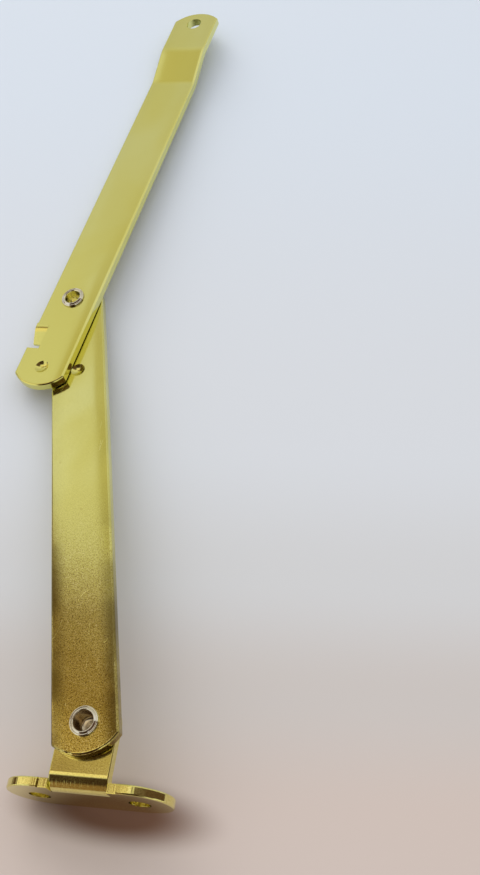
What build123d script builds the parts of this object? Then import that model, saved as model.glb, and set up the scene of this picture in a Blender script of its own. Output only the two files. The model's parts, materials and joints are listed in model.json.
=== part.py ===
from build123d import *
import os
from math import cos, radians, sin, tan

# Left-hand lid stay: a foot, two flat arms and the two rivets that join them.
# Millimetres. The origin is midway between the foot's screw holes, on the plate's front face.
# +Z is up along both rivets, and +Y runs from the plate towards the foot rivet.

# Reach and pose
lower_reach = 102.0            # foot rivet to elbow rivet
upper_reach = 98.5             # elbow rivet to lid screw hole
lower_azimuth = 14.3           # lower arm's turn from +Y, counter-clockwise from above
open_bend = 22.8               # bend left at the elbow when the stop tab bears on the lower arm
plate_gap = 0.3                # air between stacked strips

# Foot: a T-shaped blank bent to a right angle
foot_thickness = 1.8
plate_length = 32.3
plate_height = 14.4
plate_hole_spacing = 19.8
plate_hole_diameter = 4.2
leg_width = 11.6
leg_reach = 11.6               # plate's front face to foot rivet
leg_drop = 0.2                 # leg's top face below the plate's top edge
foot_bend_radius = 3.0         # outside of the bend
relief_width = 1.9
relief_depth = 0.5
foot_edge_round = 0.3
leg_edge_round = 0.25

# Lower arm
lower_width = 13.0
lower_thickness = 2.0
lower_tip = 6.0                # foot rivet to the end of the arm
lower_corner = 3.2             # foot rivet back to the end arc's corners
lower_corner_round = 0.5

# Upper arm
upper_width = 12.7
upper_thickness = 2.0
far_tip = 4.7                  # lid screw hole to the end of the arm
far_inner_corner = 2.3         # lid screw hole to the end arc's inner corner
far_outer_corner = 1.4         # lid screw hole to the end arc's outer corner
far_crown = 0.7                # the end arc's crown, off the centreline
far_inner_round = 1.5
far_outer_round = 0.8
lid_hole_diameter = 4.15
joggle_start = 77.0            # elbow rivet to the foot of the ramp
joggle_end = 87.5
joggle_rise = 2.3
joggle_radius = 10.0
tail_tip = 25.4                # elbow rivet to the end of the tail
tail_corner = 22.4             # elbow rivet to the tail arc's corners
tail_corner_round = 0.9

# Stop tab, lanced out of the tail's outer edge and bent down past the lower arm's side
tab_width = 3.35
tab_reach = 3.6                # bend line to free end, seen from above
tab_slope = 30.0
tab_bend_radius = 1.6          # under the bend
tab_overlap = 1.15             # bend line to the lower arm's side, along the tab's inner line
tab_opening = 6.8              # bend line to the far side of the notch
tab_root = 0.5                 # length of the tab's flat foot inside the strip
tab_side_gap = 0.06
tab_end_round = 0.5

# Dimples
dimple_from_elbow = 20.2
dimple_diameter = 3.3
dimple_depth = 0.7
bump_height = 0.5

# Strip edges
top_round = 0.45
under_round = 0.2

# Rivets: a shank bored from its top, with a flange below
tube_diameter = 4.6
running_clearance = 0.05       # radial, in the arm that turns
end_play = 0.05                # under each rolled rim
rim_height = 0.65
foot_rim_diameter = 5.6
foot_bore_diameter = 3.8
foot_crest_diameter = 4.3
elbow_rim_diameter = 5.5
elbow_bore_diameter = 3.6
elbow_crest_diameter = 4.5
lip_drop = 0.35                # crest of the rim to the top of the bore
closed_end = 1.35              # solid end under the bore, flange included
flange_diameter = 7.2
flange_height = 0.65
flange_round = 0.25

# Share of a face's direction along Z: a level face has more than this, an upright one less
level_lean = 0.7
upright_lean = 0.01

# Levels
leg_top = plate_height / 2 - leg_drop
leg_under = leg_top - foot_thickness
lower_under = leg_top + plate_gap
lower_top = lower_under + lower_thickness
upper_under = lower_top + plate_gap
upper_top = upper_under + upper_thickness

# Planes: one flat on the underside of each arm at its own rivet, +Y along the arm
foot_axis = Vector(0, leg_reach, 0)
lower_plane = Plane((foot_axis.X, foot_axis.Y, lower_under)).rotated((0, 0, lower_azimuth))
elbow_axis = foot_axis + lower_plane.y_dir * lower_reach
upper_azimuth = lower_azimuth - open_bend
upper_plane = Plane((elbow_axis.X, elbow_axis.Y, upper_under)).rotated((0, 0, upper_azimuth))
upper_side = Plane(upper_plane.origin, x_dir=upper_plane.y_dir, z_dir=upper_plane.x_dir)


def rim_edges(solid, facing):
    """Edges where the faces that look up (+1) or down (-1) meet upright walls."""
    flats = solid.faces().filter_by(lambda face: face.normal_at().Z * facing > level_lean)
    walls = solid.faces().filter_by(lambda face: abs(face.normal_at().Z) < upright_lean)
    wall_edges = walls.edges()
    return ShapeList(edge for edge in flats.edges() if edge in wall_edges)


def upright_plane(arm_plane, along, height):
    """Plane across an arm: X across it, Y up, its origin on the centreline above the underside."""
    origin = arm_plane.origin + arm_plane.y_dir * along + arm_plane.z_dir * height
    return Plane(origin, x_dir=arm_plane.x_dir, z_dir=arm_plane.y_dir * -1)


def cap_section(plane, height):
    """Half section of a dimple of this depth below the plane's origin, for a full revolve."""
    with BuildSketch(plane) as section:
        with BuildLine():
            face_line = Line((0, 0), (dimple_diameter / 2, 0))
            axis_line = Line((0, -height), (0, 0))
            TangentArc(axis_line @ 0, face_line @ 1, tangent=(1, 0))
        make_face()
    return section.sketch


def rivet_section(axis, seat, rim_seat, bore_diameter, crest_diameter, rim_diameter):
    """Half section of a rivet: flange under the seat, bored shank, and a rim rolled over."""
    bore = bore_diameter / 2
    crest = crest_diameter / 2
    tube = tube_diameter / 2
    rim = rim_diameter / 2
    flange = flange_diameter / 2
    under = seat - flange_height
    floor = under + closed_end
    lip = rim_seat + rim_height - lip_drop
    with BuildSketch(Plane((axis.X, axis.Y, 0), x_dir=(1, 0, 0), z_dir=(0, -1, 0))) as section:
        with BuildLine():
            Polyline((bore, lip), (bore, floor), (0, floor), (0, under), (flange, under), (flange, seat))
            Polyline((flange, seat), (tube, seat), (tube, rim_seat), (rim, rim_seat))
            EllipticalCenterArc((crest, rim_seat), rim - crest, rim_height, start_angle=0, arc_size=90)
            EllipticalCenterArc((crest, lip), crest - bore, lip_drop, start_angle=90, arc_size=90)
        make_face()
        flange_corner = section.vertices().group_by(Axis.Y)[0].sort_by(Axis.X)[-1]
        fillet(flange_corner, radius=flange_round)
    return section.sketch


# Foot: the bend, trimmed round at the rivet, then the plate with its reliefs and screw holes
with BuildPart() as mounting_foot:
    with BuildSketch(Plane.YZ):
        with BuildLine():
            outside = FilletPolyline(
                (leg_reach + leg_width / 2, leg_top), (0, leg_top), (0, 0), radius=foot_bend_radius
            )
            offset(outside, amount=foot_thickness, side=Side.LEFT)
        make_face()
    extrude(amount=leg_width / 2, both=True)
    with BuildSketch(Plane.XY.offset(-plate_height)):
        with Locations(foot_axis):
            Circle(leg_width / 2)
        with Locations((0, leg_reach / 2)):
            Rectangle(leg_width, leg_reach)
    extrude(amount=2 * plate_height, mode=Mode.INTERSECT)
    fillet(rim_edges(mounting_foot.part, 1), radius=leg_edge_round)
    with BuildSketch(Plane.XZ) as plate_outline:
        SlotOverall(plate_length, plate_height)
        with Locations((0, plate_height / 2)):
            Rectangle(leg_width + 2 * relief_width, 2 * relief_depth, mode=Mode.SUBTRACT)
        with Locations((0, leg_top)):
            Rectangle(leg_width, 2 * foot_bend_radius, mode=Mode.SUBTRACT)
        with Locations((-plate_hole_spacing / 2, 0), (plate_hole_spacing / 2, 0)):
            Circle(plate_hole_diameter / 2, mode=Mode.SUBTRACT)
    extrude(amount=-foot_thickness)
    plate_ends = mounting_foot.edges().filter_by(GeomType.CIRCLE).filter_by(
        lambda edge: abs(edge.radius - plate_height / 2) < upright_lean
    )
    fillet(plate_ends, radius=foot_edge_round)
    with Locations(foot_axis):
        Cylinder(tube_diameter / 2, 4 * plate_height, mode=Mode.SUBTRACT)
mounting_foot.part.label = "mounting_foot"

# Lower arm: square-cornered end arc at the foot, full round at the elbow
with BuildPart() as lower_arm:
    with BuildSketch(lower_plane) as lower_outline:
        with BuildLine():
            half = lower_width / 2
            end_arc = ThreePointArc((-half, -lower_corner), (0, -lower_tip), (half, -lower_corner))
            right_side = Line(end_arc @ 1, (half, lower_reach))
            left_side = Line((-half, lower_reach), end_arc @ 0)
            ThreePointArc(right_side @ 1, (0, lower_reach + half), left_side @ 0)
        make_face()
        fillet(lower_outline.vertices().filter_by(lambda corner: corner.Y < 0), radius=lower_corner_round)
    extrude(amount=lower_thickness)
    fillet(rim_edges(lower_arm.part, 1), radius=top_round)
    fillet(rim_edges(lower_arm.part, -1), radius=under_round)
    with BuildSketch(lower_plane):
        Circle(tube_diameter / 2 + running_clearance)
        with Locations((0, lower_reach)):
            Circle(tube_diameter / 2)
    extrude(amount=lower_thickness, mode=Mode.SUBTRACT)
    lower_dimple_top = upright_plane(lower_plane, lower_reach - dimple_from_elbow, lower_thickness)
    lower_dimple_under = upright_plane(lower_plane, lower_reach - dimple_from_elbow, 0)
    revolve(
        cap_section(lower_dimple_top, dimple_depth),
        axis=Axis(lower_dimple_top.origin, (0, 0, 1)),
        mode=Mode.SUBTRACT,
    )
    revolve(cap_section(lower_dimple_under, bump_height), axis=Axis(lower_dimple_under.origin, (0, 0, 1)))
lower_arm.part.label = "lower_arm"

# Upper arm: a joggled strip cut to its outline, with the stop tab lanced from the tail's outer edge
tab_inner = upper_width / 2 - tab_width
side_offset = lower_width / 2 - tab_inner * cos(radians(open_bend))
tab_hinge = side_offset / sin(radians(open_bend)) - tab_overlap
tab_bend = tab_hinge + tab_bend_radius * tan(radians(tab_slope / 2))
tab_free = tab_hinge + tab_reach
with BuildPart() as stop_tab:
    with BuildSketch(upper_side.offset(-upper_width / 2)):
        with BuildLine():
            tab_under = FilletPolyline(
                (-tab_free, -(tab_free - tab_bend) * tan(radians(tab_slope))),
                (-tab_bend, 0),
                (-tab_hinge + tab_root, 0),
                radius=tab_bend_radius,
            )
            offset(tab_under, amount=upper_thickness, side=Side.LEFT)
        make_face()
    extrude(amount=tab_width - tab_side_gap)
    free_face = stop_tab.faces().sort_by(Axis(upper_plane.origin, upper_plane.y_dir))[0]
    fillet(free_face.edges().sort_by(Axis.Z)[-1], radius=tab_end_round)

far_end = upper_reach + far_tip
strip_end = 2 * far_tip
with BuildPart() as upper_arm:
    with BuildSketch(upper_side):
        with BuildLine():
            underside = FilletPolyline(
                (-tail_tip - strip_end, 0),
                (joggle_start, 0),
                (joggle_end, joggle_rise),
                (far_end + strip_end, joggle_rise),
                radius=joggle_radius,
            )
            offset(underside, amount=upper_thickness, side=Side.LEFT)
        make_face()
    extrude(amount=upper_width, both=True)
    with BuildSketch(upper_plane) as upper_outline:
        with BuildLine():
            half = upper_width / 2
            tail_arc = ThreePointArc((-half, -tail_corner), (0, -tail_tip), (half, -tail_corner))
            inner_side = Line(tail_arc @ 1, (half, upper_reach + far_inner_corner))
            outer_side = Line((-half, upper_reach + far_outer_corner), tail_arc @ 0)
            ThreePointArc(inner_side @ 1, (far_crown, far_end), outer_side @ 0)
        make_face()
        tail_corners = upper_outline.vertices().filter_by(lambda corner: corner.Y < 0)
        far_corners = upper_outline.vertices().filter_by(lambda corner: corner.Y > 0).sort_by(Axis.X)
        fillet(tail_corners, radius=tail_corner_round)
        fillet(far_corners[0], radius=far_outer_round)
        fillet(far_corners[-1], radius=far_inner_round)
    extrude(amount=joggle_rise + 2 * upper_thickness, mode=Mode.INTERSECT)
    fillet(rim_edges(upper_arm.part, 1), radius=top_round)
    fillet(rim_edges(upper_arm.part, -1), radius=under_round)
    with BuildSketch(upper_plane):
        Circle(tube_diameter / 2 + running_clearance)
        with Locations((0, upper_reach)):
            Circle(lid_hole_diameter / 2)
        with Locations((-upper_width / 2, -tab_hinge - tab_opening / 2)):
            Rectangle(2 * tab_width, tab_opening)
    extrude(amount=joggle_rise + 2 * upper_thickness, mode=Mode.SUBTRACT)
    add(stop_tab.part)
    dimple_top = upright_plane(upper_plane, -dimple_from_elbow, upper_thickness)
    dimple_under = upright_plane(upper_plane, -dimple_from_elbow, 0)
    revolve(cap_section(dimple_top, dimple_depth), axis=Axis(dimple_top.origin, (0, 0, 1)), mode=Mode.SUBTRACT)
    revolve(cap_section(dimple_under, bump_height), axis=Axis(dimple_under.origin, (0, 0, 1)))
upper_arm.part.label = "upper_arm"

# Rivets: each is fast in the strip it is seated under, and the other strip turns on it
foot_rim_seat = lower_top + end_play
foot_rim_sizes = (foot_bore_diameter, foot_crest_diameter, foot_rim_diameter)
with BuildPart() as foot_rivet:
    revolve(rivet_section(foot_axis, leg_under, foot_rim_seat, *foot_rim_sizes), axis=Axis(foot_axis, (0, 0, 1)))
foot_rivet.part.label = "foot_rivet"

elbow_rim_seat = upper_top + end_play
elbow_rim_sizes = (elbow_bore_diameter, elbow_crest_diameter, elbow_rim_diameter)
with BuildPart() as elbow_rivet:
    revolve(
        rivet_section(elbow_axis, lower_under, elbow_rim_seat, *elbow_rim_sizes),
        axis=Axis(elbow_axis, (0, 0, 1)),
    )
elbow_rivet.part.label = "elbow_rivet"

os.makedirs("parts", exist_ok=True)
for piece in (mounting_foot, foot_rivet, lower_arm, elbow_rivet, upper_arm):
    export_step(piece.part, f"parts/{piece.part.label}.step")
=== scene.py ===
import json
import math

import bmesh
import bpy
from mathutils import Matrix, Vector


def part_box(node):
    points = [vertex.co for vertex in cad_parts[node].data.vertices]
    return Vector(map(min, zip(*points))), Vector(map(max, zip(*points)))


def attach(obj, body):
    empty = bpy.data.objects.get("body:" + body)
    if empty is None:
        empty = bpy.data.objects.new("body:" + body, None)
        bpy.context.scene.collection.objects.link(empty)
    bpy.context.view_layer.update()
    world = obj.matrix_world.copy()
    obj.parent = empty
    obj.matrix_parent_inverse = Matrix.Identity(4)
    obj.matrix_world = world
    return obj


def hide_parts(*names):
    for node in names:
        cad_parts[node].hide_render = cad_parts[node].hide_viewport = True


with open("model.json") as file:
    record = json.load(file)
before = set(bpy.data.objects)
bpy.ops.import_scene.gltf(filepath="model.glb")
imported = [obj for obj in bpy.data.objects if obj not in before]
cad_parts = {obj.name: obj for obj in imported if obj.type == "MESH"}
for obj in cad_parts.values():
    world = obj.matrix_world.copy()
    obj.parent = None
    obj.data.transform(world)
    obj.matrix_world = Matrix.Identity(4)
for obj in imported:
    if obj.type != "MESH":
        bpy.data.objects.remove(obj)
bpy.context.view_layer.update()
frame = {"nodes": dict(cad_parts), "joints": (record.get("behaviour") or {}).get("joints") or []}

nodes = frame["nodes"]
joints = {joint["name"]: Vector(joint["pos_m"]) for joint in frame["joints"]}
print("frame loaded:", len(nodes), "nodes")


# Helpers for node trees: a value is a number, a colour or another node's socket.
def join(tree, socket, value):
    if isinstance(value, bpy.types.NodeSocket):
        tree.links.new(value, socket)
    else:
        socket.default_value = value


def maths(tree, operation, *values):
    made = tree.nodes.new("ShaderNodeMath")
    made.operation = operation
    for socket, value in zip(made.inputs, values):
        join(tree, socket, value)
    return made.outputs[0]


def ramp(tree, value, start, end, low=0.0, high=1.0):
    made = tree.nodes.new("ShaderNodeMapRange")
    made.interpolation_type = "SMOOTHSTEP"
    labels = ("Value", "From Min", "From Max", "To Min", "To Max")
    for label, number in zip(labels, (value, start, end, low, high)):
        join(tree, made.inputs[label], number)
    return made.outputs["Result"]


def mixed(tree, share, first, second):
    made = tree.nodes.new("ShaderNodeMix")
    made.data_type = "RGBA"
    for index, value in ((0, share), (6, first), (7, second)):   # the colour sockets of the Mix node
        join(tree, made.inputs[index], value)
    return made.outputs[2]


def noise(tree, place, scale, detail=2.0, distortion=0.0):
    made = tree.nodes.new("ShaderNodeTexNoise")
    for label, value in (("Vector", place), ("Scale", scale), ("Detail", detail), ("Distortion", distortion)):
        join(tree, made.inputs[label], value)
    return made.outputs["Fac"]


def turned(tree, place, shift=(0.0, 0.0, 0.0), angle=0.0, stretch=(1.0, 1.0, 1.0)):
    made = tree.nodes.new("ShaderNodeMapping")
    join(tree, made.inputs["Vector"], place)
    made.inputs["Location"].default_value = shift
    made.inputs["Rotation"].default_value = (0.0, 0.0, math.radians(angle))
    made.inputs["Scale"].default_value = stretch
    return made.outputs["Vector"]


def along(tree, place, direction):
    made = tree.nodes.new("ShaderNodeVectorMath")
    made.operation = "DOT_PRODUCT"
    join(tree, made.inputs[0], place)
    join(tree, made.inputs[1], direction)
    return made.outputs["Value"]


def lengthOf(tree, vector):
    made = tree.nodes.new("ShaderNodeVectorMath")
    made.operation = "LENGTH"
    join(tree, made.inputs[0], vector)
    return made.outputs["Value"]


def span(tree, value, start, full, last, end):
    rise = ramp(tree, value, start, full)
    return maths(tree, "MULTIPLY", rise, ramp(tree, value, last, end, 1.0, 0.0))


def bump(tree, height, distance):
    made = tree.nodes.new("ShaderNodeBump")
    made.inputs["Distance"].default_value = distance
    join(tree, made.inputs["Height"], height)
    return made


def newMaterial(name):
    made = bpy.data.materials.new(name)
    made.use_nodes = True
    tree = made.node_tree
    place = tree.nodes.new("ShaderNodeTexCoord").outputs["Object"]
    return made, tree, tree.nodes["Principled BSDF"].inputs, place


def newGroup(name, inputs, outputs):
    tree = bpy.data.node_groups.new(name, "ShaderNodeTree")
    for label, kind, value in inputs:
        socket = tree.interface.new_socket(label, in_out="INPUT", socket_type=kind)
        if value is not None:
            socket.default_value = value
    for label in outputs:
        tree.interface.new_socket(label, in_out="OUTPUT", socket_type="NodeSocketFloat")
    return tree, tree.nodes.new("NodeGroupInput").outputs, tree.nodes.new("NodeGroupOutput").inputs


def placeGroup(tree, group, **values):
    made = tree.nodes.new("ShaderNodeGroup")
    made.node_tree = group
    for label, value in values.items():
        join(tree, made.inputs[label], value)
    return made.outputs


# Camera: above and to the right of the foot, looking down along the arms.
cameraValues = {
    "place": (0.0762, -0.0331, 0.1726),
    "forward": (-0.2746, 0.5124, -0.8136),
    "right": (0.9615, 0.1348, -0.2396),
    "sensor": 36.0,
    "lens": 40.31,
    "shiftUp": 0.0099,
    "nearest": 0.01,
}


def makeCamera(values):
    data = bpy.data.cameras.new("camera")
    data.sensor_fit = "VERTICAL"
    data.sensor_width = data.sensor_height = values["sensor"]
    data.lens = values["lens"]
    data.shift_y = values["shiftUp"]
    data.clip_start = values["nearest"]
    back = -Vector(values["forward"]).normalized()
    up = back.cross(Vector(values["right"])).normalized()
    turn = Matrix((up.cross(back), up, back)).transposed()
    camera = bpy.data.objects.new("camera", data)
    camera.matrix_world = Matrix.Translation(values["place"]) @ turn.to_4x4()
    bpy.context.scene.collection.objects.link(camera)
    bpy.context.scene.camera = camera


makeCamera(cameraValues)
bpy.context.scene.view_settings.view_transform = "Standard"
print("camera made")


# Floor: the plane that the loose stay lies on, which its three lowest points give.
floorValues = {
    "upright": Vector((0.25, -0.04, 0.97)),   # roughly, the resting face nearest it is taken
    "size": 0.9,
    "smallestFace": 1e-4,
    "highest": 0.009,   # a resting face's middle is below this
    # The paper's colour is painted shade: darker and warmer near the foot, lighter and cooler far off.
    "depthLine": (-0.12, 1.0, 0.0),
    "depth": (0.0, 0.20),
    "shadingTones": (   # share of the depth, colour
        (0.0, (0.66, 0.545, 0.475, 1.0)),
        (0.12, (0.62, 0.56, 0.515, 1.0)),
        (0.24, (0.66, 0.645, 0.63, 1.0)),
        (0.40, (0.70, 0.705, 0.715, 1.0)),
        (1.0, (0.69, 0.73, 0.775, 1.0)),
    ),
    # a dark brown painted shadow on the paper
    "paintedShadow": (0.17, 0.085, 0.05, 1.0),   # right under the foot plate
    "shadePlace": (0.001, 0.0001),
    "shadeSize": (0.019, 0.0062),
    "shadeFade": (0.35, 1.2),
    "roughness": 0.8,
    "specular": 0.2,
    "middle": (0.06, 0.08),
    "rimFade": (0.22, 0.42),
    "leftLine": (1.0, 0.35, 0.0),
    "leftFade": (-0.058, -0.03),
}


def restingPlane(values):
    shell = bmesh.new()
    for node in nodes.values():
        for corner in node.data.vertices:
            shell.verts.new(corner.co)
    hull = bmesh.ops.convex_hull(shell, input=shell.verts)["geom"]
    faces = [face for face in hull if isinstance(face, bmesh.types.BMFace)]
    faces = [face for face in faces if face.calc_area() > values["smallestFace"]]
    faces = [face for face in faces if face.calc_center_median().z <= values["highest"]]
    best = max(faces, key=lambda face: abs(face.normal.dot(values["upright"])))
    normal, point = best.normal.copy(), best.calc_center_median()
    shell.free()
    return (normal if normal.z > 0 else -normal), point


def makeFloor(values):
    normal, point = restingPlane(values)
    print("floor", [round(c, 4) for c in normal], [round(c, 4) for c in point])
    grid = bmesh.new()
    bmesh.ops.create_grid(grid, x_segments=2, y_segments=2, size=values["size"])
    side = Vector((0.0, 1.0, 0.0)).cross(normal).normalized()
    turn = Matrix((side, normal.cross(side), normal)).transposed().to_4x4()
    bmesh.ops.transform(grid, matrix=Matrix.Translation(point) @ turn, verts=grid.verts)
    mesh = bpy.data.meshes.new("floor")
    grid.to_mesh(mesh)
    grid.free()
    floor = bpy.data.objects.new("floor", mesh)
    bpy.context.scene.collection.objects.link(floor)
    return floor


def paintedFloorShading(tree, place, values):
    # painted shading: the paper runs from darker and warmer at the foot to lighter and cooler far off
    depth = tree.nodes.new("ShaderNodeMapRange")
    join(tree, depth.inputs["Value"], along(tree, place, values["depthLine"]))
    depth.inputs["From Min"].default_value, depth.inputs["From Max"].default_value = values["depth"]
    shadingTones = tree.nodes.new("ShaderNodeValToRGB")
    tree.links.new(depth.outputs["Result"], shadingTones.inputs["Fac"])
    shadingTones.color_ramp.interpolation = "EASE"
    stops = shadingTones.color_ramp.elements
    for share, tone in values["shadingTones"][1:-1]:
        stops.new(share)
    for stop, (share, tone) in zip(stops, values["shadingTones"]):
        stop.position, stop.color = share, tone
    return shadingTones.outputs["Color"]


def paperMaterial(values):
    made, tree, shader, place = newMaterial("palePaper")
    # A dark brown shadow is painted into the paper's colour right under the foot plate.
    (shadeX, shadeY), (sizeX, sizeY) = values["shadePlace"], values["shadeSize"]
    shift, stretch = (-shadeX / sizeX, -shadeY / sizeY, 0.0), (1.0 / sizeX, 1.0 / sizeY, 0.0)
    fromShade = lengthOf(tree, turned(tree, place, shift, 0.0, stretch))
    paintedShadow = ramp(tree, fromShade, *values["shadeFade"], 1.0, 0.0)
    colour = mixed(tree, paintedShadow, paintedFloorShading(tree, place, values), values["paintedShadow"])
    tree.links.new(colour, shader["Base Color"])
    shader["Roughness"].default_value = values["roughness"]
    shader["Specular IOR Level"].default_value = values["specular"]
    # it fades out towards its edge and on the left, and doesn't show from below
    middleX, middleY = values["middle"]
    fromMiddle = lengthOf(tree, turned(tree, place, (-middleX, -middleY, 0.0)))
    rim = ramp(tree, fromMiddle, *values["rimFade"], 1.0, 0.0)
    left = ramp(tree, along(tree, place, values["leftLine"]), *values["leftFade"])
    behind = tree.nodes.new("ShaderNodeNewGeometry").outputs["Backfacing"]
    shown = maths(tree, "MULTIPLY", maths(tree, "MULTIPLY", rim, left), maths(tree, "SUBTRACT", 1.0, behind))
    clear = tree.nodes.new("ShaderNodeBsdfTransparent")
    mix = tree.nodes.new("ShaderNodeMixShader")
    tree.links.new(shown, mix.inputs[0])
    tree.links.new(clear.outputs[0], mix.inputs[1])
    tree.links.new(tree.nodes["Principled BSDF"].outputs[0], mix.inputs[2])
    tree.links.new(mix.outputs[0], tree.nodes["Material Output"].inputs["Surface"])
    return made


makeFloor(floorValues).data.materials.append(paperMaterial(floorValues))
print("floor made")


# Light: a soft fill all round, one lamp, and the studio that only the metal mirrors.
lightValues = {
    "seen": (0.68, 0.71, 0.75, 1.0),
    "fillFar": (1.14, 1.20, 1.28, 1.0),
    "fillNear": (0.37, 0.33, 0.31, 1.0),
    "fillSide": (-0.12, 0.79, 0.60),
    "fillFade": (-0.3, 0.7),
    "windowLow": (0.62, 0.61, 0.54, 1.0),
    "windowHigh": (0.87, 0.86, 0.81, 1.0),
    "windowFade": (0.35, 0.9),
    "lampPlace": (-0.38, 0.88, 0.75),
    "lampAim": (0.0, 0.1, 0.0),
    "lampSize": 0.8,
    "lampPower": 4.2,
}
noStart, noEnd = (-2, -1.5), (2, 3)   # outside every direction, so that side has no limit
# Each part of the studio has its start, full, last and end from left to right, from near to far and
# from low to high, and its colour. A later part lies over an earlier one.
studioParts = {
    "wingCard": ((-0.97, -0.92, 0.02, 0.15), (-0.14, -0.05, 0.189, 0.198),
                 (-0.2, 0.0, *noEnd), (1.08, 0.94, 0.72, 1)),
    "lowerArmShade": ((-0.75, -0.60, -0.20, -0.05), (0.189, 0.198, 0.325, 0.405),
                      (0.5, 0.65, *noEnd), (0.30, 0.21, 0.10, 1)),
    "legShade": ((-0.46, -0.44, -0.40, -0.38), (0.13, 0.17, 0.215, 0.235),
                 (0.5, 0.65, *noEnd), (0.29, 0.18, 0.085, 1)),
    "lowerArmGlow": ((-0.75, -0.60, -0.20, -0.05), (0.205, 0.211, 0.222, 0.245),
                     (0.5, 0.65, *noEnd), (0.66, 0.53, 0.29, 1)),
    "rightShade": ((0.05, 0.22, *noEnd), (-0.80, -0.65, 0.18, 0.33),
                   (0.20, 0.40, *noEnd), (0.11, 0.06, 0.04, 1)),
    "bendShade": ((-0.50, -0.46, -0.36, -0.32), (*noStart, -0.24, -0.10),
                  (-0.6, -0.4, *noEnd), (0.29, 0.17, 0.085, 1)),
    "armEndShade": ((-0.54, -0.47, 0.15, 0.30), (-0.90, -0.80, -0.24, -0.10),
                    (0.25, 0.62, *noEnd), (0.045, 0.022, 0.01, 1)),
    "armEndEdge": ((-0.37, -0.32, 0.25, 0.35), (*noStart, -0.50, -0.30),
                   (-0.5, -0.3, *noEnd), (0.045, 0.022, 0.01, 1)),
    "rightWingEnd": ((0.60, 0.72, *noEnd), (0.02, 0.10, 0.22, 0.28),
                     (-0.5, -0.35, *noEnd), (0.11, 0.06, 0.04, 1)),
    "leftShade": ((*noStart, -0.74, -0.64), (0.22, 0.27, 0.34, 0.45),
                  (-0.6, -0.4, 0.6, 0.8), (0.22, 0.14, 0.08, 1)),
    "leftWingEnd": ((*noStart, -0.96, -0.92), (-0.20, -0.05, 0.20, 0.25),
                    (-0.6, -0.4, 0.6, 0.8), (0.11, 0.06, 0.04, 1)),
    "rampField": ((-0.41, -0.385, -0.20, -0.10), (0.36, 0.44, 0.56, 0.76),
                  (0.5, 0.65, *noEnd), (0.62, 0.57, 0.34, 1)),
}


def makeWorld(values, parts):
    world = bpy.data.worlds.new("studio")
    world.use_nodes = True
    bpy.context.scene.world = world
    tree = world.node_tree
    ray = tree.nodes.new("ShaderNodeLightPath").outputs
    direction = tree.nodes.new("ShaderNodeTexCoord").outputs["Generated"]
    toRight, toBack, upward = (along(tree, direction, axis) for axis in ((1, 0, 0), (0, 1, 0), (0, 0, 1)))
    window = ramp(tree, toBack, *values["windowFade"])
    mirrored = mixed(tree, window, values["windowHigh"], values["windowLow"])
    for across, deep, high, colour in parts.values():
        mask = maths(tree, "MULTIPLY", span(tree, toRight, *across), span(tree, toBack, *deep))
        mirrored = mixed(tree, maths(tree, "MULTIPLY", mask, span(tree, upward, *high)), mirrored, colour)
    toFar = ramp(tree, along(tree, direction, values["fillSide"]), *values["fillFade"])
    fill = mixed(tree, toFar, values["fillNear"], values["fillFar"])
    soft = mixed(tree, ray["Is Glossy Ray"], fill, mirrored)
    shown = mixed(tree, ray["Is Camera Ray"], soft, values["seen"])
    tree.links.new(shown, tree.nodes["Background"].inputs["Color"])


def makeLamp(values):
    lamp = bpy.data.lights.new("lamp", "AREA")
    lamp.shape = "DISK"
    lamp.size = values["lampSize"]
    lamp.energy = values["lampPower"]
    holder = bpy.data.objects.new("lamp", lamp)
    place = Vector(values["lampPlace"])
    turn = (Vector(values["lampAim"]) - place).to_track_quat("-Z", "Y")
    holder.matrix_world = Matrix.Translation(place) @ turn.to_matrix().to_4x4()
    holder.visible_glossy = False
    bpy.context.scene.collection.objects.link(holder)


makeWorld(lightValues, studioParts)
makeLamp(lightValues)
print("light made")


# Effects that the finishes share
cloudValues = {
    "scale": 30.0,
    "detail": 3.0,
    "warp": 0.6,
    "contrast": (0.3, 0.7),
    "waveShift": (0.31, 0.17, 0.07),
    "waveDetail": 1.0,
}
speckleValues = {
    "scale": 4600.0,
    "detail": 1.0,
    "dark": (0.46, 0.74),
    # where the grain is bright, painted glints
    "bright": (0.46, 0.28),
}
scratchValues = {
    "scale": 420.0,
    "width": 0.0042,
    "stretch": (1.0, 0.12, 1.0),
    "sets": ((8.0, 0.0), (-52.0, 0.4), (67.0, 0.9)),   # direction, shift
    "patchScale": 240.0,
    "patchLift": 0.3,
    "patches": (0.66, 0.72),
}


def makeCloudGroup(values):
    tree, given, out = newGroup(
        "platingClouds",
        [("Place", "NodeSocketVector", None), ("Scale", "NodeSocketFloat", values["scale"])],
        ["Clouds", "Waves"],
    )
    clouds = noise(tree, given["Place"], given["Scale"], values["detail"], values["warp"])
    join(tree, out["Clouds"], ramp(tree, clouds, *values["contrast"]))
    shifted = turned(tree, given["Place"], values["waveShift"])
    join(tree, out["Waves"], noise(tree, shifted, given["Scale"], values["waveDetail"]))
    return tree


def makeSpeckleGroup(values):
    tree, given, out = newGroup(
        "fineSpeckle",
        [("Place", "NodeSocketVector", None), ("Scale", "NodeSocketFloat", values["scale"])],
        ["Specks", "PaintedGlints", "Grain"],
    )
    grain = noise(tree, given["Place"], given["Scale"], values["detail"])
    join(tree, out["Grain"], grain)
    join(tree, out["Specks"], ramp(tree, grain, *values["dark"]))
    # painted glints: bright specks standing in for sparkle
    join(tree, out["PaintedGlints"], ramp(tree, grain, *values["bright"]))
    return tree


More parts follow.
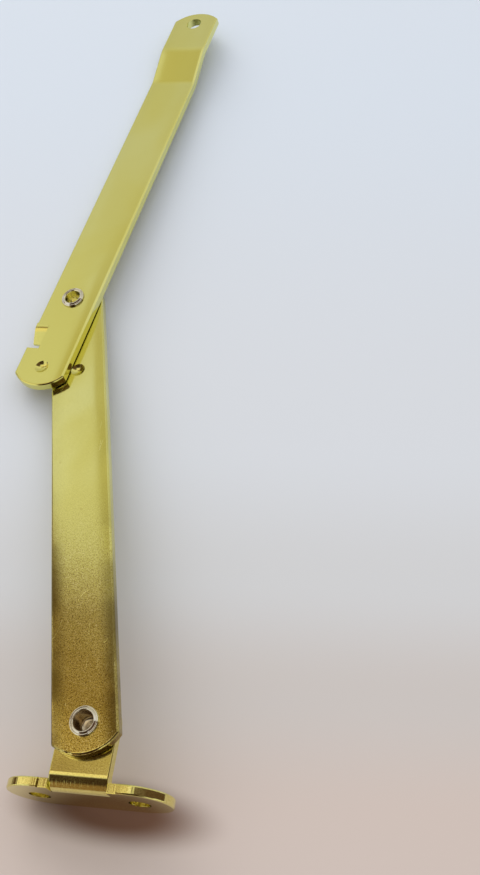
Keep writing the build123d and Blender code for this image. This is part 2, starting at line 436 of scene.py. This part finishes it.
def makeScratchGroup(values):
    tree, given, out = newGroup(
        "hairScratches",
        [
            ("Place", "NodeSocketVector", None),
            ("Scale", "NodeSocketFloat", values["scale"]),
            ("Width", "NodeSocketFloat", values["width"]),
        ],
        ["Scratches"],
    )
    total = None
    for angle, shift in values["sets"]:
        drawn = turned(tree, given["Place"], (shift, shift, 0.0), angle, values["stretch"])
        lines = noise(tree, drawn, given["Scale"], 0.0)
        offCentre = maths(tree, "ABSOLUTE", maths(tree, "SUBTRACT", lines, 0.5))
        thin = ramp(tree, offCentre, 0.0, given["Width"], 1.0, 0.0)
        lifted = turned(tree, given["Place"], (0.0, shift, values["patchLift"]))
        sparse = ramp(tree, noise(tree, lifted, values["patchScale"], 0.0), *values["patches"])
        thin = maths(tree, "MULTIPLY", thin, sparse)
        total = thin if total is None else maths(tree, "MAXIMUM", total, thin)
    join(tree, out["Scratches"], total)
    return tree


cloudGroup = makeCloudGroup(cloudValues)
speckleGroup = makeSpeckleGroup(speckleValues)
scratchGroup = makeScratchGroup(scratchValues)


# Bright brass plating on the foot and both arms
brassValues = {
    "pale": (0.76, 0.74, 0.29, 1.0),
    "deep": (0.74, 0.695, 0.205, 1.0),
    "speckle": (0.27, 0.17, 0.04, 1.0),
    # painted glints: bright specks standing in for sparkle
    "paintedGlint": (0.95, 0.86, 0.50, 1.0),
    "warm": (0.80, 0.66, 0.18, 1.0),
    # painted shade along the edges of the strips
    "edge": (0.13, 0.09, 0.025, 1.0),
    "smooth": 0.09,
    "dull": 0.17,
    "cloudScale": 28.0,
    "waveHeight": 0.00022,
    "grainHeight": 0.000005,
    "speckFade": (0.03, 0.062, 1.0, 0.12),   # distance from the plate, then how much is left
    "warmFade": (0.012, 0.05),
    "scratchDull": 0.2,
    "scratchHeight": 1.6,
    "crown": 0.00018,
    "crownPower": 6.0,
    "edgeFade": (0.40, 1.0),
    "edgePatchPlace": (0.2, 0.0, 0.5),
    "edgePatchScale": 90.0,
    "edgePatches": (0.30, 0.60, 0.3, 1.0),
    "shearScale": 2600.0,
    "shearStretch": (1.0, 0.04, 0.3),
    "shearFade": 0.0001,
    "shearHeight": 4.0,
}
brassPieces = {
    "mounting_foot": {
        "finish": "footBrass", "specks": 0.35, "warmth": 0.3, "scratches": 0.0,
        "sheared": (0.0001, 0.0017),   # through the plate's thickness
    },
    "lower_arm": {
        "finish": "lowerArmBrass", "specks": 0.9, "warmth": 0.9, "scratches": 0.9,
        "joint": "foot_pivot", "turn": 14.3, "halfWidth": 0.0065,
    },
    "upper_arm": {
        "finish": "upperArmBrass", "specks": 0.2, "warmth": 0.0, "scratches": 0.0,
        "joint": "elbow", "turn": -8.5, "halfWidth": 0.00635,
    },
}


# The middle of a rolled strip is 0 and its two edges are 1.
def shareAcross(tree, place, piece):
    turn = math.radians(piece["turn"])
    side = (math.cos(turn), math.sin(turn), 0.0)
    across = maths(tree, "SUBTRACT", along(tree, place, side), Vector(side).dot(joints[piece["joint"]]))
    return maths(tree, "DIVIDE", maths(tree, "ABSOLUTE", across), piece["halfWidth"])


def brassMaterial(values, piece):
    made, tree, shader, place = newMaterial(piece["finish"])
    clouds = placeGroup(tree, cloudGroup, Place=place, Scale=values["cloudScale"])
    speckle = placeGroup(tree, speckleGroup, Place=place)
    scratches = placeGroup(tree, scratchGroup, Place=place)["Scratches"]
    scratches = maths(tree, "MULTIPLY", scratches, piece["scratches"])
    fromPlate = along(tree, place, (0.0, 1.0, 0.0))
    # Dust specks, the painted glints and the painted edge shade all follow this mask, strongest near the
    # foot.
    wearAndSheen = maths(tree, "MULTIPLY", ramp(tree, fromPlate, *values["speckFade"]), piece["specks"])
    warm = ramp(tree, fromPlate, *values["warmFade"], piece["warmth"], 0.0)
    colour = mixed(tree, clouds["Clouds"], values["pale"], values["deep"])
    colour = mixed(tree, warm, colour, values["warm"])
    colour = mixed(tree, maths(tree, "MULTIPLY", speckle["Specks"], wearAndSheen), colour, values["speckle"])
    # bright specks of painted glint
    colour = mixed(tree, maths(tree, "MULTIPLY", speckle["PaintedGlints"], wearAndSheen), colour, values["paintedGlint"])
    height = maths(tree, "MULTIPLY", clouds["Waves"], values["waveHeight"])
    # The darker colour towards the strip's two edges, in patches, is painted shade.
    if "halfWidth" in piece:   # a rolled strip falls away slightly towards its two edges, and is darker there
        share = shareAcross(tree, place, piece)
        fall = maths(tree, "MULTIPLY", maths(tree, "POWER", share, values["crownPower"]), values["crown"])
        height = maths(tree, "SUBTRACT", height, fall)
        patches = noise(tree, turned(tree, place, values["edgePatchPlace"]), values["edgePatchScale"])
        patchy = ramp(tree, patches, *values["edgePatches"])
        edge = maths(tree, "MULTIPLY", ramp(tree, share, *values["edgeFade"]), patchy)
        colour = mixed(tree, maths(tree, "MULTIPLY", edge, wearAndSheen), colour, values["edge"])
    tree.links.new(colour, shader["Base Color"])
    shader["Metallic"].default_value = 1.0
    dull = ramp(tree, clouds["Clouds"], 0.0, 1.0, values["smooth"], values["dull"])
    dull = maths(tree, "ADD", dull, maths(tree, "MULTIPLY", scratches, values["scratchDull"]))
    tree.links.new(dull, shader["Roughness"])
    rough = maths(tree, "MULTIPLY", speckle["Grain"], wearAndSheen)
    rough = maths(tree, "ADD", rough, maths(tree, "MULTIPLY", scratches, values["scratchHeight"]))
    if "sheared" in piece:   # the press leaves fine lines through the plate's edge
        (start, end), fade = piece["sheared"], values["shearFade"]
        lines = noise(tree, turned(tree, place, stretch=values["shearStretch"]), values["shearScale"], 1.0)
        depth = span(tree, fromPlate, start, start + fade, end - fade, end)
        lines = maths(tree, "MULTIPLY", maths(tree, "MULTIPLY", lines, depth), values["shearHeight"])
        rough = maths(tree, "ADD", rough, lines)
    form = bump(tree, height, 1.0)
    grain = bump(tree, rough, values["grainHeight"])
    tree.links.new(form.outputs["Normal"], grain.inputs["Normal"])
    tree.links.new(grain.outputs["Normal"], shader["Normal"])
    return made


for name, piece in brassPieces.items():
    nodes[name].material_slots[0].material = brassMaterial(brassValues, piece)
print("brass given")


# Rivets, turned finer than the frame's: a rolled rim with a groove round it, and a dished bore.
# Sizes in millimetres.
rivetValues = {
    "footRivet": {
        "node": "foot_rivet", "body": "foot", "joint": "foot_pivot",
        # the bore's colour is painted light and shade, browner in this rivet
        "rim": 2.8, "bore": 1.9, "crest": 2.12, "inside": (0.56, 0.48, 0.34, 1.0),
    },
    "elbowRivet": {
        "node": "elbow_rivet", "body": "lower_arm", "joint": "elbow",
        # the bore's colour is painted light, bright in this rivet
        "rim": 2.75, "bore": 1.8, "crest": 2.1, "inside": (0.93, 0.90, 0.55, 1.0),
    },
}
rivetForm = {
    "steps": 96,
    "flange": 3.6,
    "flangeHeight": 0.65,
    "shank": 2.3,
    "closedEnd": 1.35,
    "rimHeight": 0.65,
    "sharp": math.radians(50.0),
    "outline": (   # from the axis below, round the outside and down the bore: radius, more, level, more
        ("axis", 0.0, "bottom", 0.0), ("flange", -0.25, "bottom", 0.0), ("flange", -0.07, "bottom", 0.07),
        ("flange", 0.0, "bottom", 0.25), ("flange", 0.0, "ledge", 0.0), ("shank", 0.0, "ledge", 0.0),
        ("shank", 0.0, "seat", 0.0), ("rim", -0.05, "seat", 0.0), ("rim", 0.0, "seat", 0.08),
        ("rim", -0.01, "seat", 0.26), ("rim", -0.07, "top", -0.24), ("rim", -0.16, "top", -0.16),
        ("groove", 0.06, "top", -0.17), ("groove", 0.0, "top", -0.24), ("groove", -0.06, "top", -0.18),
        ("crest", 0.08, "top", -0.03), ("crest", 0.0, "top", 0.0), ("crest", -0.09, "top", -0.03),
        ("bore", 0.05, "top", -0.13), ("bore", 0.0, "top", -0.3), ("bore", 0.0, "dish", 0.45),
        ("bore", -0.09, "dish", 0.2), ("bore", -0.3, "dish", 0.08), ("halfBore", 0.0, "dish", 0.0),
        ("axis", 0.0, "dish", -0.03),
    ),
}
nickelValues = {
    "light": (0.78, 0.75, 0.66, 1.0),
    "deep": (0.66, 0.60, 0.46, 1.0),
    "smooth": 0.12,
    "dull": 0.24,
    "cloudScale": 300.0,
    "grainHeight": 0.0000015,
    "boreFade": 0.0002,
}


def nickelMaterial(name, values, axis, bore, inside):
    made, tree, shader, place = newMaterial(name)
    clouds = placeGroup(tree, cloudGroup, Place=place, Scale=values["cloudScale"])
    speckle = placeGroup(tree, speckleGroup, Place=place)
    colour = mixed(tree, clouds["Clouds"], values["light"], values["deep"])
    fromAxis = lengthOf(tree, turned(tree, place, (-axis.x, -axis.y, 0.0), 0.0, (1.0, 1.0, 0.0)))
    # The bore takes a painted colour that stands in for the light and shade inside it.
    inBore = ramp(tree, fromAxis, bore, bore + values["boreFade"], 1.0, 0.0)
    tree.links.new(mixed(tree, inBore, colour, inside), shader["Base Color"])
    shader["Metallic"].default_value = 1.0
    dull = ramp(tree, clouds["Clouds"], 0.0, 1.0, values["smooth"], values["dull"])
    tree.links.new(dull, shader["Roughness"])
    grain = bump(tree, speckle["Grain"], values["grainHeight"])
    tree.links.new(grain.outputs["Normal"], shader["Normal"])
    return made


def rivetOutline(values, form):
    low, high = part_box(values["node"])
    bottom, top = low.z * 1000.0, high.z * 1000.0
    radii = {
        "axis": 0.0,
        "flange": form["flange"],
        "shank": form["shank"],
        "rim": values["rim"],
        "groove": (values["rim"] + values["crest"]) / 2.0,
        "crest": values["crest"],
        "bore": values["bore"],
        "halfBore": values["bore"] * 0.5,
    }
    levels = {
        "bottom": bottom,
        "ledge": bottom + form["flangeHeight"],
        "seat": top - form["rimHeight"],
        "dish": bottom + form["closedEnd"],
        "top": top,
    }
    return [(radii[r] + out, levels[z] + up) for r, out, z, up in form["outline"]]


def turnRivet(name, values, form):
    axis = joints[values["joint"]]
    spun = bmesh.new()
    corners = [
        spun.verts.new((axis.x + r / 1000.0, axis.y, z / 1000.0)) for r, z in rivetOutline(values, form)
    ]
    edges = [spun.edges.new(pair) for pair in zip(corners, corners[1:])]
    bmesh.ops.spin(
        spun, geom=corners + edges, cent=(axis.x, axis.y, 0.0), axis=(0.0, 0.0, 1.0),
        angle=2.0 * math.pi, steps=form["steps"], use_merge=True,
    )
    bmesh.ops.remove_doubles(spun, verts=spun.verts, dist=1e-6)
    bmesh.ops.recalc_face_normals(spun, faces=spun.faces)
    for face in spun.faces:
        face.smooth = True
    for edge in spun.edges:
        edge.smooth = edge.calc_face_angle(0.0) < form["sharp"]
    mesh = bpy.data.meshes.new(name)
    spun.to_mesh(mesh)
    spun.free()
    rivet = bpy.data.objects.new(name, mesh)
    bpy.context.scene.collection.objects.link(rivet)
    finish = nickelMaterial(name + "Nickel", nickelValues, axis, values["bore"] / 1000.0, values["inside"])
    rivet.data.materials.append(finish)
    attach(rivet, values["body"])
    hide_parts(values["node"])


for name, values in rivetValues.items():
    turnRivet(name, values, rivetForm)
print("rivets turned")
